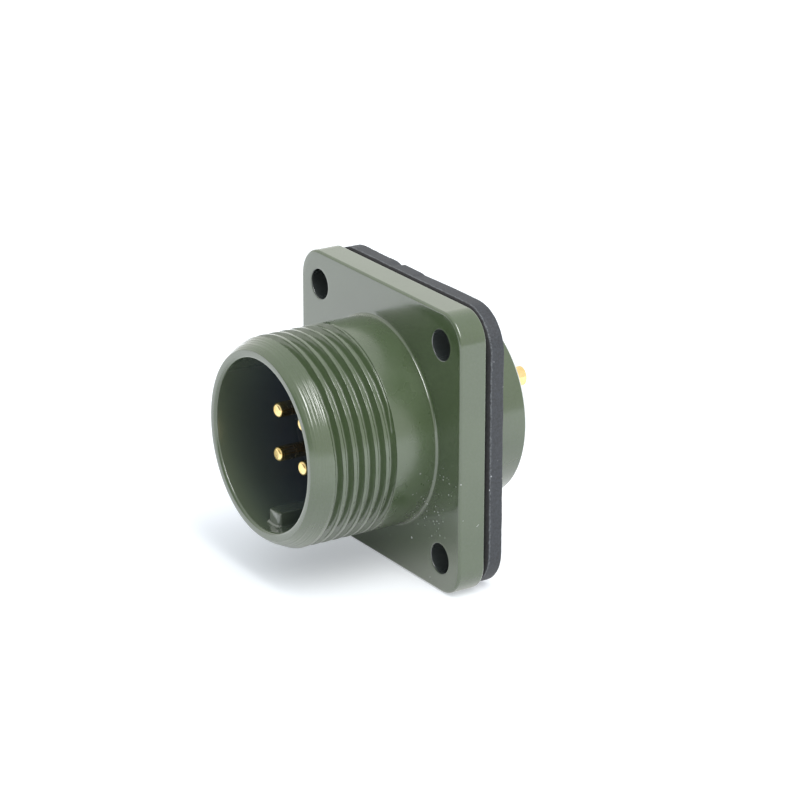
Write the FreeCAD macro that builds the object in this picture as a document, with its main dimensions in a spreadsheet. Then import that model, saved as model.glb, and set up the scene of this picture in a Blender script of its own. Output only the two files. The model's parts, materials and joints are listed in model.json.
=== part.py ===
import FreeCAD, Part
import math
import os
import re
import Sketcher

# Square-flange panel receptacle with four solder-cup pin contacts.
# The mating axis is Y and the threaded barrel points to -Y. The origin is on that axis,
# in the plane where the gasket meets the panel. X is to the right and Z is up.

doc = FreeCAD.newDocument("flange_receptacle")

# Driving dimensions in millimetres and degrees
SIZES = {
    # Flange and its screw holes
    "flange_side": 30.18,
    "flange_thickness": 3.15,
    "flange_corner": 3.3,
    "flange_edge_round": 0.3,
    "screw_inset": 3.585,
    "screw_hole_radius": 1.6,
    # Barrel in front of the flange
    "barrel_length": 14.3,
    "barrel_radius": 11.0,
    "barrel_foot_round": 0.25,
    "barrel_wall": 1.98,
    "rim_width": 0.89,
    "nose_depth": 0.55,
    "nose_rise": 0.42,
    "cone_length": 1.4,
    # Coupling thread
    "thread_pitch": 1.27,
    "thread_root": 0.121,
    "thread_depth": 0.64,
    "thread_flank": 30.0,
    "thread_stop": 5.31,
    "thread_fade": 0.5,
    # Barrel behind the flange
    "rear_length": 8.55,
    "rear_radius": 10.1,
    "rear_wall": 1.5,
    "rear_chamfer": 0.3,
    # Socket, the web behind it and the polarising key
    "socket_depth": 11.9,
    "rim_round": 0.15,
    "web_shelf": 1.0,
    "web_thickness": 1.4,
    "key_width": 2.1,
    "key_height": 1.6,
    "key_setback": 1.55,
    "index_width": 1.6,
    "index_depth": 0.6,
    # Retaining ring and its groove
    "ring_thickness": 0.8,
    "ring_section": 1.2,
    "ring_bite": 0.5,
    "ring_clearance": 0.1,
    "ring_gap": 4.0,
    # Insulators
    "insert_clearance": 0.08,
    "boss_proud": 1.0,
    "front_flange": 3.2,
    "rear_thickness": 5.6,
    "cup_collar_radius": 1.75,
    "cup_collar_height": 0.7,
    # Contacts
    "contact_spacing": 4.8,
    "contact_clearance": 0.05,
    "pin_radius": 0.794,
    "pin_reach": 7.5,
    "pin_tip_round": 0.35,
    "stem_radius": 0.95,
    "shoulder_radius": 1.55,
    "shoulder_front": 1.55,
    "shoulder_rear": 1.45,
    "cup_radius": 1.05,
    "cup_reach": 8.45,
    "cup_wall": 0.3,
    "cup_bore_depth": 5.5,
    "cup_bore_point": 0.45,
    "cup_end_round": 0.12,
    "scoop_length": 3.6,
    "scoop_floor": 0.3,
    # Gasket
    "gasket_thickness": 2.1,
    "gasket_corner": 4.4,
    "gasket_edge_round": 0.45,
    "gasket_bore_clearance": 0.2,
    "gasket_hole_clearance": 0.1,
}

SCREWS = 4
CONTACTS = 4
# How far a cutter reaches past the face that it enters, and the least that a cut takes off
OVERRUN = 1.0
LEAST_CUT_VOLUME = 1.0
TOLERANCE = 1e-4
# The thread's cutter: turns in front of the rim, and its rise over the barrel as a share of its depth
LEAD_TURNS = 0.5
MOUTH_RISE = 0.5
FADE_RISE = 1.2

sheet = doc.addObject("Spreadsheet::Sheet", "Sizes")
for row, (alias, size) in enumerate(SIZES.items(), start=1):
    sheet.set(f"A{row}", alias)
    sheet.set(f"B{row}", str(size))
    sheet.setAlias(f"B{row}", alias)
doc.recompute()

# Radii about the mating axis
SOCKET_RADIUS = "(barrel_radius - barrel_wall)"
RIM_RADIUS = f"({SOCKET_RADIUS} + rim_width)"
NOSE_RADIUS = f"({RIM_RADIUS} + nose_rise)"
CAVITY_RADIUS = "(rear_radius - rear_wall)"
WEB_RADIUS = f"({CAVITY_RADIUS} - web_shelf)"
INSERT_RADIUS = f"({CAVITY_RADIUS} - insert_clearance)"
SLOT_RADIUS = f"({CAVITY_RADIUS} + index_depth)"
SCREW_SPACING = "(flange_side - 2 * screw_inset)"
CUP_BORE_RADIUS = "(cup_radius - cup_wall)"

# Places along the mating axis, from the panel plane at 0
FLANGE_REAR = "(-gasket_thickness)"
FLANGE_FRONT = "(-gasket_thickness - flange_thickness)"
RIM = f"({FLANGE_FRONT} - barrel_length)"
NOSE_END = f"({RIM} + nose_depth)"
CONE_END = f"({NOSE_END} + cone_length)"
THREAD_STOP = f"({FLANGE_FRONT} - thread_stop)"
WEB_FRONT = f"({RIM} + socket_depth)"
WEB_REAR = f"({WEB_FRONT} + web_thickness)"
BOSS_FACE = f"({WEB_FRONT} - boss_proud)"
INSERT_SPLIT = f"({WEB_REAR} + front_flange)"
INSERT_REAR = f"({INSERT_SPLIT} + rear_thickness)"
RING_REAR = f"({INSERT_REAR} + ring_thickness)"
SHELL_REAR = f"({FLANGE_REAR} + rear_length)"


def on_sheet(formula):
    """Writes each named size in a formula as a cell of the sheet."""
    return re.sub(r"[a-z][a-z_]+", lambda word: word.group() if word.group() not in SIZES
                  else f"Sizes.{word.group()}", formula)


def value(formula):
    """The number that a formula of named sizes gives."""
    return float(sheet.evalExpression(on_sheet(formula)))


def bind(thing, prop, formula):
    """Ties a property to named sizes."""
    thing.setExpression(prop, on_sheet(formula))


def new_body(label):
    body = doc.addObject("PartDesign::Body", label)
    body.Label = label
    return body


def new_sketch(body, name, plane, offset=None):
    """A sketch on one of the body's origin planes, moved along its normal by a formula."""
    sketch = body.newObject("Sketcher::SketchObject", name)
    origin_plane = next(item for item in body.Origin.OriginFeatures if item.Role == plane)
    sketch.AttachmentSupport = [(origin_plane, "")]
    sketch.MapMode = "FlatFace"
    if offset:
        bind(sketch, "AttachmentOffset.Base.z", offset)
    return sketch


def pin_down(sketch, index, end, across, along):
    """Ties one end of a sketch element to its distances from the sketch's origin."""
    for kind, axis, formula in (("DistanceX", -2, across), ("DistanceY", -1, along)):
        if formula == "0":
            sketch.addConstraint(Sketcher.Constraint("PointOnObject", index, end, axis))
            continue
        distance = Sketcher.Constraint(kind, -1, 1, index, end, value(formula))
        number = sketch.addConstraint(distance)
        bind(sketch, f"Constraints[{number}]", formula)


def draw_polygon(sketch, corners):
    """A closed outline through corners, each a pair of formulas."""
    points = [FreeCAD.Vector(value(across), value(along), 0) for across, along in corners]
    first = sketch.GeometryCount
    count = len(points)
    for number in range(count):
        sketch.addGeometry(Part.LineSegment(points[number], points[(number + 1) % count]))
    for number, (across, along) in enumerate(corners):
        following = first + (number + 1) % count
        sketch.addConstraint(Sketcher.Constraint("Coincident", first + number, 2, following, 1))
        pin_down(sketch, first + number, 1, across, along)


def draw_circle(sketch, across, along, radius):
    """A circle whose centre and radius follow named sizes."""
    centre = FreeCAD.Vector(value(across), value(along), 0)
    normal = FreeCAD.Vector(0, 0, 1)
    index = sketch.addGeometry(Part.Circle(centre, normal, value(radius)))
    pin_down(sketch, index, 3, across, along)
    number = sketch.addConstraint(Sketcher.Constraint("Radius", index, value(radius)))
    bind(sketch, f"Constraints[{number}]", radius)


def draw_box(sketch, left, bottom, right, top):
    """A rectangle between four formulas."""
    draw_polygon(sketch, [(left, bottom), (right, bottom), (right, top), (left, top)])


def turned(body, name, corners, cutting=False):
    """Revolves an outline of (radius, place along Y) about the mating axis."""
    sketch = new_sketch(body, f"{name}_profile", "XY_Plane")
    draw_polygon(sketch, corners)
    kind = "PartDesign::Groove" if cutting else "PartDesign::Revolution"
    feature = body.newObject(kind, name)
    feature.Profile = sketch
    feature.ReferenceAxis = (sketch, ["V_Axis"])
    feature.Angle = 360
    doc.recompute()
    return feature


def raised(body, name, sketch, length, backwards=False):
    """Pads a sketch along its normal. On a cross plane the normal is -Y."""
    feature = body.newObject("PartDesign::Pad", name)
    feature.Profile = sketch
    bind(feature, "Length", length)
    feature.Reversed = backwards
    doc.recompute()
    return feature


def pocketed(body, name, sketch, length, backwards=False):
    """Cuts a sketch into the body, against its normal. On a cross plane that is +Y."""
    before = body.Shape.Volume
    feature = body.newObject("PartDesign::Pocket", name)
    feature.Profile = sketch
    bind(feature, "Length", length)
    feature.Reversed = backwards
    doc.recompute()
    if feature.Shape.Volume >= before:
        raise ValueError(f"{name} cuts nothing")
    return feature


def repeated_about_axis(body, name, feature, count):
    """Repeats a feature round the mating axis."""
    pattern = body.newObject("PartDesign::PolarPattern", name)
    pattern.Originals = [feature]
    pattern.Axis = (feature.Profile[0], ["N_Axis"])
    pattern.Angle = 360
    pattern.Occurrences = count
    body.Tip = pattern
    doc.recompute()
    return pattern


def edge_names(feature, wanted):
    """Names of the edges that pass a test."""
    edges = enumerate(feature.Shape.Edges, start=1)
    return [f"Edge{number}" for number, edge in edges if wanted(edge)]


def rounded(body, name, base, wanted, radius):
    """Rounds the chosen edges."""
    names = edge_names(base, wanted)
    if not names:
        raise ValueError(f"{name} finds no edge")
    fillet = body.newObject("PartDesign::Fillet", name)
    fillet.Base = (base, names)
    bind(fillet, "Radius", radius)
    doc.recompute()
    return fillet


def same(first, second):
    return abs(first - second) < TOLERANCE


def lies_at(edge, place):
    """Whether an edge lies in the cross plane at a place along Y."""
    return same(edge.BoundBox.YMin, place) and same(edge.BoundBox.YMax, place)


def runs_along_axis(edge):
    box = edge.BoundBox
    return same(box.XLength, 0) and same(box.ZLength, 0) and not same(box.YLength, 0)


def circle_at(radius, place):
    """A test for a circle about the mating axis."""
    def wanted(edge):
        return (isinstance(edge.Curve, Part.Circle) and lies_at(edge, place)
                and same(edge.Curve.Radius, radius))
    return wanted


def square_plate(body, side, corner, edge_round, rear, thickness, both_faces):
    """A square plate with round corners and softened edges, its rear face at a place along Y."""
    sketch = new_sketch(body, "plate_outline", "XZ_Plane", f"-({rear})")
    half = f"{side} / 2"
    draw_box(sketch, f"-{half}", f"-{half}", half, half)
    plate = raised(body, "plate", sketch, thickness)
    corners = rounded(body, "plate_corners", plate, runs_along_axis, corner)
    faces = [value(f"({rear}) - ({thickness})")]
    if both_faces:
        faces.append(value(rear))
    return rounded(body, "plate_edges", corners,
                   lambda edge: any(lies_at(edge, face) for face in faces), edge_round)


def square_of_holes(body, name, count, radius, spacing, rear, depth):
    """Round holes in a square about the mating axis, cut forwards from a place along Y."""
    sketch = new_sketch(body, f"{name}_circle", "XZ_Plane", f"-({rear})")
    draw_circle(sketch, f"{spacing} / 2", f"{spacing} / 2", radius)
    hole = pocketed(body, name, sketch, depth, backwards=True)
    return repeated_about_axis(body, f"{name}_pattern", hole, count)


def thread_cutter():
    """A right-hand V groove that starts in front of the rim and fades out behind its last turn.

    It is swept along a helix and then a conical helix that lifts it out of the barrel.
    """
    pitch = value("thread_pitch")
    radius = value("barrel_radius")
    depth = value("thread_depth")
    slope = math.tan(math.radians(value("thread_flank")))
    threaded = value("barrel_length - thread_stop")
    turns = math.ceil(threaded / pitch + LEAD_TURNS)
    mouth_rise = MOUTH_RISE * depth
    root_half = value("thread_root") / 2
    mouth_half = root_half + (depth + mouth_rise) * slope
    section = Part.makePolygon([
        FreeCAD.Vector(radius - depth, 0, -root_half),
        FreeCAD.Vector(radius + mouth_rise, 0, -mouth_half),
        FreeCAD.Vector(radius + mouth_rise, 0, mouth_half),
        FreeCAD.Vector(radius - depth, 0, root_half),
        FreeCAD.Vector(radius - depth, 0, -root_half),
    ])
    fade_rise = FADE_RISE * depth
    fade_length = value("thread_fade * thread_pitch")
    cone_angle = math.atan(fade_rise / fade_length)
    stretch = 1 / math.cos(cone_angle)
    full_depth = Part.makeHelix(pitch, turns * pitch, radius)
    fading = Part.makeHelix(pitch * stretch, fade_length * stretch, radius,
                            math.degrees(cone_angle))
    fading.translate(FreeCAD.Vector(0, 0, turns * pitch))
    sweep = Part.BRepOffsetAPI.MakePipeShell(Part.Wire(full_depth.Edges + fading.Edges))
    sweep.setFrenetMode(True)
    sweep.add(section, False, False)
    sweep.build()
    sweep.makeSolid()
    cutter = doc.addObject("Part::Feature", "thread_cutter")
    cutter.Shape = sweep.shape()
    start = FreeCAD.Vector(0, value(THREAD_STOP) - turns * pitch, 0)
    to_mating_axis = FreeCAD.Rotation(FreeCAD.Vector(1, 0, 0), -90)
    cutter.Placement = FreeCAD.Placement(start, to_mating_axis)
    return cutter


def nose_cutter():
    """The ring that is turned off the barrel's front to leave its lead-in cone."""
    body = new_body("nose_cutter")
    clear_radius = f"barrel_radius + {OVERRUN}"
    turned(body, "nose_waste", [
        (RIM_RADIUS, f"{RIM} - {OVERRUN}"),
        (RIM_RADIUS, RIM),
        (NOSE_RADIUS, NOSE_END),
        ("barrel_radius", CONE_END),
        (clear_radius, CONE_END),
        (clear_radius, f"{RIM} - {OVERRUN}"),
    ])
    return body


def cut_away(label, base, tool):
    """One piece less another, which has to take something off."""
    result = doc.addObject("Part::Cut", label)
    result.Base = base
    result.Tool = tool
    doc.recompute()
    if result.Shape.Volume > base.Shape.Volume - LEAST_CUT_VOLUME:
        raise ValueError(f"{label} loses nothing to its cutter")
    return result


def make_shell():
    """The one-piece shell: flange, threaded barrel, rear barrel, web and polarising key."""
    body = new_body("shell_blank")
    square_plate(body, "flange_side", "flange_corner", "flange_edge_round",
                 FLANGE_REAR, "flange_thickness", both_faces=True)
    flange_middle = f"({FLANGE_FRONT} + flange_thickness / 2)"
    barrel = turned(body, "barrel", [
        ("0", RIM),
        ("barrel_radius", RIM),
        ("barrel_radius", flange_middle),
        ("rear_radius", flange_middle),
        ("rear_radius", f"{SHELL_REAR} - rear_chamfer"),
        ("rear_radius - rear_chamfer", SHELL_REAR),
        ("0", SHELL_REAR),
    ])
    rounded(body, "barrel_foot", barrel,
            circle_at(value("barrel_radius"), value(FLANGE_FRONT)), "barrel_foot_round")
    groove_front = f"({INSERT_REAR} - ring_clearance)"
    groove_rear = f"({RING_REAR} + ring_clearance)"
    bite_radius = f"{CAVITY_RADIUS} + ring_bite"
    bores = turned(body, "bores", [
        ("0", f"{RIM} - {OVERRUN}"),
        (SOCKET_RADIUS, f"{RIM} - {OVERRUN}"),
        (SOCKET_RADIUS, WEB_FRONT),
        (WEB_RADIUS, WEB_FRONT),
        (WEB_RADIUS, WEB_REAR),
        (CAVITY_RADIUS, WEB_REAR),
        (CAVITY_RADIUS, groove_front),
        (bite_radius, groove_front),
        (bite_radius, groove_rear),
        (CAVITY_RADIUS, groove_rear),
        (CAVITY_RADIUS, f"{SHELL_REAR} + {OVERRUN}"),
        ("0", f"{SHELL_REAR} + {OVERRUN}"),
    ], cutting=True)
    rounded(body, "rim_lip", bores,
            circle_at(value(SOCKET_RADIUS), value(RIM)), "rim_round")

    key = new_sketch(body, "key_section", "XZ_Plane", f"-({WEB_FRONT})")
    draw_box(key, "-key_width / 2", f"-{SOCKET_RADIUS} - barrel_wall / 2",
             "key_width / 2", f"-{SOCKET_RADIUS} + key_height")
    raised(body, "key", key, "socket_depth - key_setback")

    index = new_sketch(body, "index_section", "XZ_Plane", f"-({SHELL_REAR})")
    draw_box(index, "-index_width / 2", f"{CAVITY_RADIUS} - index_depth",
             "index_width / 2", SLOT_RADIUS)
    pocketed(body, "index_slot", index, f"{SHELL_REAR} - {WEB_REAR}", backwards=True)

    square_of_holes(body, "screw_hole", SCREWS, "screw_hole_radius", SCREW_SPACING,
                    FLANGE_REAR, "flange_thickness")

    threaded = cut_away("threaded_shell", body, thread_cutter())
    return cut_away("shell", threaded, nose_cutter())


def contact_seats(body, shoulder_from, shoulder_depth, hole_radius, rear, depth):
    """Stepped holes: a narrow one right through and a wide seat for the contact's shoulder."""
    square_of_holes(body, "contact_hole", CONTACTS, f"{hole_radius} + contact_clearance",
                    "contact_spacing", rear, depth)
    square_of_holes(body, "shoulder_seat", CONTACTS, "shoulder_radius + contact_clearance",
                    "contact_spacing", shoulder_from, shoulder_depth)


def index_rib(body, rear, length):
    """The rib that keeps an insulator from turning in the shell."""
    sketch = new_sketch(body, "rib_section", "XZ_Plane", f"-({rear})")
    draw_box(sketch, "-index_width / 2 + insert_clearance", f"{CAVITY_RADIUS} - index_depth",
             "index_width / 2 - insert_clearance", f"{SLOT_RADIUS} - insert_clearance")
    return raised(body, "index_rib", sketch, length)


def make_front_insert():
    """The front insulator: a boss through the web, and a flange behind it."""
    body = new_body("front_insert")
    boss_radius = f"{WEB_RADIUS} - insert_clearance"
    turned(body, "disc", [
        ("0", BOSS_FACE),
        (boss_radius, BOSS_FACE),
        (boss_radius, WEB_REAR),
        (INSERT_RADIUS, WEB_REAR),
        (INSERT_RADIUS, INSERT_SPLIT),
        ("0", INSERT_SPLIT),
    ])
    index_rib(body, INSERT_SPLIT, "front_flange")
    contact_seats(body, INSERT_SPLIT, "shoulder_front", "stem_radius", INSERT_SPLIT,
                  f"{INSERT_SPLIT} - {BOSS_FACE}")
    return body


def make_rear_insert():
    """The rear insulator, with a collar round each solder cup."""
    body = new_body("rear_insert")
    turned(body, "disc", [
        ("0", INSERT_SPLIT),
        (INSERT_RADIUS, INSERT_SPLIT),
        (INSERT_RADIUS, INSERT_REAR),
        ("0", INSERT_REAR),
    ])
    index_rib(body, INSERT_REAR, "rear_thickness")
    collar = new_sketch(body, "collar_circle", "XZ_Plane", f"-({INSERT_REAR})")
    draw_circle(collar, "contact_spacing / 2", "contact_spacing / 2", "cup_collar_radius")
    first_collar = raised(body, "collar", collar, "cup_collar_height", backwards=True)
    repeated_about_axis(body, "collars", first_collar, CONTACTS)
    contact_seats(body, f"({INSERT_SPLIT} + shoulder_rear)", "shoulder_rear", "cup_radius",
                  f"({INSERT_REAR} + cup_collar_height)", "rear_thickness + cup_collar_height")
    return body


def make_contact(label, across, up):
    """One turned contact: round-nosed pin, stem, shoulder, and solder cup with its scoop."""
    body = new_body(label)
    tip = f"({BOSS_FACE} - pin_reach)"
    shoulder_front = f"({INSERT_SPLIT} - shoulder_front)"
    shoulder_rear = f"({INSERT_SPLIT} + shoulder_rear)"
    cup_end = f"({INSERT_REAR} + cup_reach)"
    cup_floor = f"({cup_end} - cup_bore_depth)"
    blank = turned(body, "turned_blank", [
        ("0", tip),
        ("pin_radius", tip),
        ("pin_radius", BOSS_FACE),
        ("stem_radius", BOSS_FACE),
        ("stem_radius", shoulder_front),
        ("shoulder_radius", shoulder_front),
        ("shoulder_radius", shoulder_rear),
        ("cup_radius", shoulder_rear),
        ("cup_radius", cup_end),
        (CUP_BORE_RADIUS, cup_end),
        (CUP_BORE_RADIUS, cup_floor),
        ("0", f"{cup_floor} - cup_bore_point"),
    ])
    nose = rounded(body, "nose", blank, circle_at(value("pin_radius"), value(tip)), "pin_tip_round")
    rounded(body, "cup_lip", nose, circle_at(value("cup_radius"), value(cup_end)), "cup_end_round")
    clear_of_cup = f"(cup_radius + {OVERRUN})"
    open_side = -up
    scoop = new_sketch(body, "scoop_section", "XY_Plane", f"-{clear_of_cup}")
    draw_polygon(scoop, [
        (f"{open_side} * scoop_floor", f"{cup_end} + {OVERRUN}"),
        (f"{open_side} * scoop_floor", f"{cup_end} - scoop_length + cup_radius"),
        (f"{open_side} * {clear_of_cup}", f"{cup_end} - scoop_length"),
        (f"{open_side} * {clear_of_cup}", f"{cup_end} + {OVERRUN}"),
    ])
    pocketed(body, "scoop", scoop, f"2 * {clear_of_cup}", backwards=True)
    bind(body, "Placement.Base.x", f"{across} * contact_spacing / 2")
    bind(body, "Placement.Base.z", f"{up} * contact_spacing / 2")
    return body


def make_retaining_ring():
    """The open spring ring that snaps into the shell's groove behind the rear insulator."""
    body = new_body("insert_retaining_ring")
    outer = f"({CAVITY_RADIUS} + ring_bite - ring_clearance)"
    inner = f"({outer} - ring_section)"
    turned(body, "hoop", [
        (inner, INSERT_REAR),
        (outer, INSERT_REAR),
        (outer, RING_REAR),
        (inner, RING_REAR),
    ])
    gap = new_sketch(body, "gap_section", "XZ_Plane", f"-({RING_REAR})")
    draw_box(gap, "-ring_gap / 2", f"-{outer} - {OVERRUN}", "ring_gap / 2", "0")
    pocketed(body, "gap", gap, "ring_thickness", backwards=True)
    return body


def make_gasket():
    """The sheet gasket behind the flange, with its soft front edge."""
    body = new_body("flange_gasket")
    square_plate(body, "flange_side", "gasket_corner", "gasket_edge_round",
                 "0", "gasket_thickness", both_faces=False)
    opening = new_sketch(body, "opening_circle", "XZ_Plane")
    draw_circle(opening, "0", "0", "rear_radius + gasket_bore_clearance")
    pocketed(body, "opening", opening, "gasket_thickness", backwards=True)
    square_of_holes(body, "screw_hole", SCREWS, "screw_hole_radius + gasket_hole_clearance",
                    SCREW_SPACING, "0", "gasket_thickness")
    return body


def check_document():
    """Stops if any object failed."""
    for item in doc.Objects:
        if "Invalid" in item.State or "Error" in item.State:
            raise ValueError(f"{item.Name} is {item.State}")


def write_parts(bodies):
    """Writes each piece to its own file, under its node name."""
    os.makedirs("parts", exist_ok=True)
    for body in bodies:
        shape = body.Shape
        if shape.isNull() or not shape.isValid():
            raise ValueError(f"{body.Label} has no valid shape")
        if len(shape.Solids) != 1:
            raise ValueError(f"{body.Label} is {len(shape.Solids)} solids")
        shape.exportStep(f"parts/{body.Label}.step")
        print(body.Label, "volume", round(shape.Volume, 2), "mm3")


pieces = [make_shell(), make_front_insert(), make_rear_insert()]
for letter, across, up in (("a", -1, 1), ("b", 1, 1), ("c", 1, -1), ("d", -1, -1)):
    pieces.append(make_contact(f"contact_pin_{letter}", across, up))
pieces.append(make_retaining_ring())
pieces.append(make_gasket())
doc.recompute()
check_document()
write_parts(pieces)
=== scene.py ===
import json
import math

import bmesh
import bpy
import numpy as np
from mathutils import Matrix, Vector, noise
from mathutils.geometry import delaunay_2d_cdt


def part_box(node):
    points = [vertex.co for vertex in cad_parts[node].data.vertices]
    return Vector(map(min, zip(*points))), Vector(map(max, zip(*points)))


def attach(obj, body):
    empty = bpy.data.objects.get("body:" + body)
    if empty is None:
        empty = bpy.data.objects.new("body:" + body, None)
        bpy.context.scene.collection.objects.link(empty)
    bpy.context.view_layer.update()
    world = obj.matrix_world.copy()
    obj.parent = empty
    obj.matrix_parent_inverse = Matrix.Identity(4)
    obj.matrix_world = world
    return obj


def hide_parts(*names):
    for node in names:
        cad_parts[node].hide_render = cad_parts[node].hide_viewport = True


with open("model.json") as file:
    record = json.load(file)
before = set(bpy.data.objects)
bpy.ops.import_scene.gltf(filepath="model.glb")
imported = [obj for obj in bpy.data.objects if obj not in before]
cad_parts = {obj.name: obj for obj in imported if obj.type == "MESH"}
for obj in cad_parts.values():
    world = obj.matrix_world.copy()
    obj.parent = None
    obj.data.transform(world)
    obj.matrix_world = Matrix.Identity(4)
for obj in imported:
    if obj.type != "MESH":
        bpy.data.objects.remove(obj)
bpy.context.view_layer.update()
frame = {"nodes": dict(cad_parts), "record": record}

MM = 0.001

# Sizes, in mm
# Y is the mating axis and the barrel points to -Y. An angle round it is 0 at +X and 90 degrees at +Z.


def node_box(name):
    """The low and high corners of a CAD node, in mm."""
    low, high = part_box(name)
    return [side / MM for side in low], [side / MM for side in high]


mounts = {mount["name"]: mount for mount in frame["record"]["mounts"]}
shell_low, shell_high = node_box("shell")
gasket_low, gasket_high = node_box("flange_gasket")
ring_low, ring_high = node_box("insert_retaining_ring")
INSERT_FRONT = node_box("front_insert")[0][1]
PIN_TIP = node_box("contact_pin_a")[0][1]

# Flange
HALF_SIDE = shell_high[0]
FLANGE_THICKNESS = 3.15
FLANGE_REAR = gasket_low[1]
FLANGE_FRONT = FLANGE_REAR - FLANGE_THICKNESS
FLANGE_CORNER = 3.3
FLANGE_EDGE = 0.3
FACE_INSET = 0.9
HOLE_OFFSET = mounts["flange_holes"]["dims"]["spacing_x_mm"] / 2
HOLE_RADIUS = mounts["flange_holes"]["dims"]["hole_r_mm"]
HOLE_FRONT_EDGE = 0.12
HOLE_REAR_EDGE = 0.1
HOLE_LIP = 0.4
HOLES = [(across * HOLE_OFFSET, up * HOLE_OFFSET) for across in (-1, 1) for up in (-1, 1)]

# Barrel and socket
BARREL_RADIUS = mounts["coupling_thread"]["dims"]["r_mm"]
FOOT_ROUND = 0.35
FOOT_SPREAD = 0.6
RIM = shell_low[1]
RIM_RADIUS = 9.91
RIM_ROUND = 0.35
RIM_EDGE = 0.2
NOSE_START = RIM + 0.2
NOSE_END = RIM + 0.55
NOSE_RADIUS = 10.33
NOSE_ROUND = 0.5
CONE_END = RIM + 1.95
CONE_ROUND = 0.4
SOCKET_RADIUS = 9.02
SOCKET_CORNER = 0.12

# Coupling thread. A rise makes a groove shallower, an arc is an angle where it changes, and a groove
# that isn't there has the uncut radius
PITCH = 1.27
THREAD_DEPTH = 0.64
THREAD_HALF = 0.475
THREAD_SLOPE = math.tan(math.radians(30))
THREAD_END = FLANGE_FRONT - 4.78
THREAD_STOP = THREAD_END - THREAD_HALF
PLAIN_FRONT = THREAD_END + 0.1
ROOT_SOFTNESS = 0.06
CREST_SOFTNESS = 0.02
FADE_RISE = 1.2 * THREAD_DEPTH
FIRST_TURN = 6
START_ARC = math.radians(100)
END_ARCS = np.radians([-130, -30, 0, 32, 80, 120])
END_RISES = (FADE_RISE, 0.0, 0.0, 0.5, 0.5, FADE_RISE)
UNCUT = BARREL_RADIUS + 2

# Uneven paint on the crests' edges, and tool lines on the nose. A shift picks other lumps, so that a
# groove's two edges differ
UNEVEN = 0.02
UNEVEN_LENGTH = 0.75
UNEVEN_SHIFT = 900.0
TOOL_LINES = 0.012
TOOL_LINE_WIDTH = 0.13
TOOL_LINE_SHIFT = 60
TOOLED_ZONE = (RIM + 0.15, RIM + 0.35, CONE_END, CONE_END + 0.2)
LUMPS = np.random.default_rng(5).uniform(-1, 1, 4096)

# Rear barrel, web and rear cavity
SHELL_REAR = shell_high[1]
REAR_RADIUS = mounts["rear_barrel"]["dims"]["r_mm"]
REAR_CHAMFER = 0.3
REAR_EDGE = 0.08
REAR_FOOT_ROUND = 0.15
REAR_FOOT_SPREAD = 0.4
WEB_FRONT = INSERT_FRONT + 1.0
WEB_REAR = WEB_FRONT + 1.4
WEB_RADIUS = 7.6
WEB_EDGE = 0.05
CAVITY_RADIUS = 8.6
SLOT_HALF = 0.8
SLOT_TOP = CAVITY_RADIUS + 0.6
SLOT_EASE = 0.1
RING_GAP = 0.1
GROOVE_RADIUS = CAVITY_RADIUS + 0.5
GROOVE_EDGE = 0.04

# Polarising key
KEY_HALF = 1.05
KEY_TOP = SOCKET_RADIUS - 1.6
KEY_FRONT = RIM + 1.55
KEY_ROUND = 0.42
KEY_TOP_SHARE = 0.35
KEY_EDGE = 0.14
KEY_FILLET = 0.2
KEY_FILLET_TOP = 0.14
KEY_FLARE = 0.16
KEY_FLARE_DEPTH = 0.05
KEY_FLARE_EDGE = 0.04
KEY_SUNK = 0.35
KEY_REAR = WEB_FRONT + 0.2
KEY_FOOT = 0.3
KEY_FOOT_OVERLAP = 0.02
KEY_FOOT_FLARE = 0.05
KEY_FOOT_HOLLOW = 0.10

# Gasket. A tear is a notch in its top edge, and pull is how far a cut edge is drawn in
GASKET_HALF = HALF_SIDE - 0.01
GASKET_CORNER = 4.4
GASKET_INSET = 1.3
PANEL = gasket_high[1]
GASKET_FRONT_EDGE = 0.45
GASKET_REAR_EDGE = 0.12
GASKET_BORE = REAR_RADIUS + 0.2
GASKET_HOLE = HOLE_RADIUS + 0.1
GASKET_HOLE_EDGE = 0.1
GASKET_LIP = 0.35
CREASE_END = FLANGE_REAR + 0.5
FRONT_PULL = 0.02
REAR_PULL = 0.07
SLOW_WAVES = (0.35, 0.5)
QUICK_WAVES = (1.9, 1.4)
TEAR_SIDE = 14
TEAR_PLACES = (-4.6, -3.4, -3.3, 0.3, 0.6, 6.0)
TEAR_DEPTHS = (0.0, 0.32, 0.0, 0.03, 0.14, 0.0)
TEAR_PULL_SHARE = 0.3

# How fine the meshes are
WELD = 2e-4
COLUMNS = 300
HOLE_COLUMNS = 48
BORE_COLUMNS = 128
NOSE_ROWS = 50
KEY_FOOT_ROWS = 8
KEY_FOOT_COLUMNS = 17
GASKET_ROW = 0.28
GASKET_CORNER_STEPS = 20
GASKET_SIDE_STEPS = 64
# Where the thread's rows lie in half a pitch. They are closest on the flanks
HALF_PITCH_ROWS = (
    0, 0.03, 0.048, 0.066, 0.1, 0.16, 0.22, 0.27, 0.298, 0.318, 0.334, 0.35, 0.368, 0.392, 0.43)
LAST_EDGE_ROWS = np.linspace(0.4, 0.7, 25)
TURNS = range(-1, 8)

# Dust that the photograph shows, as (x, z, radius) on the flange's front face
FACE_SPECKS = [
    (6.31, -11.01, 0.143), (13.08, -4.0, 0.078), (10.53, -6.68, 0.078), (9.76, -14.19, 0.078),
    (9.14, -7.1, 0.065), (12.77, -2.27, 0.052), (14.4, -2.7, 0.065), (2.18, -12.17, 0.039),
    (7.48, -9.1, 0.065)]
# and as (y, z, radius) on its right side, where the first three make a short streak
SIDE_SPECKS = [
    (-3.12, -7.22, 0.045), (-3.02, -7.14, 0.045), (-2.92, -7.07, 0.04), (-4.8, -12.54, 0.06),
    (-4.83, -6.24, 0.04)]
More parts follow.
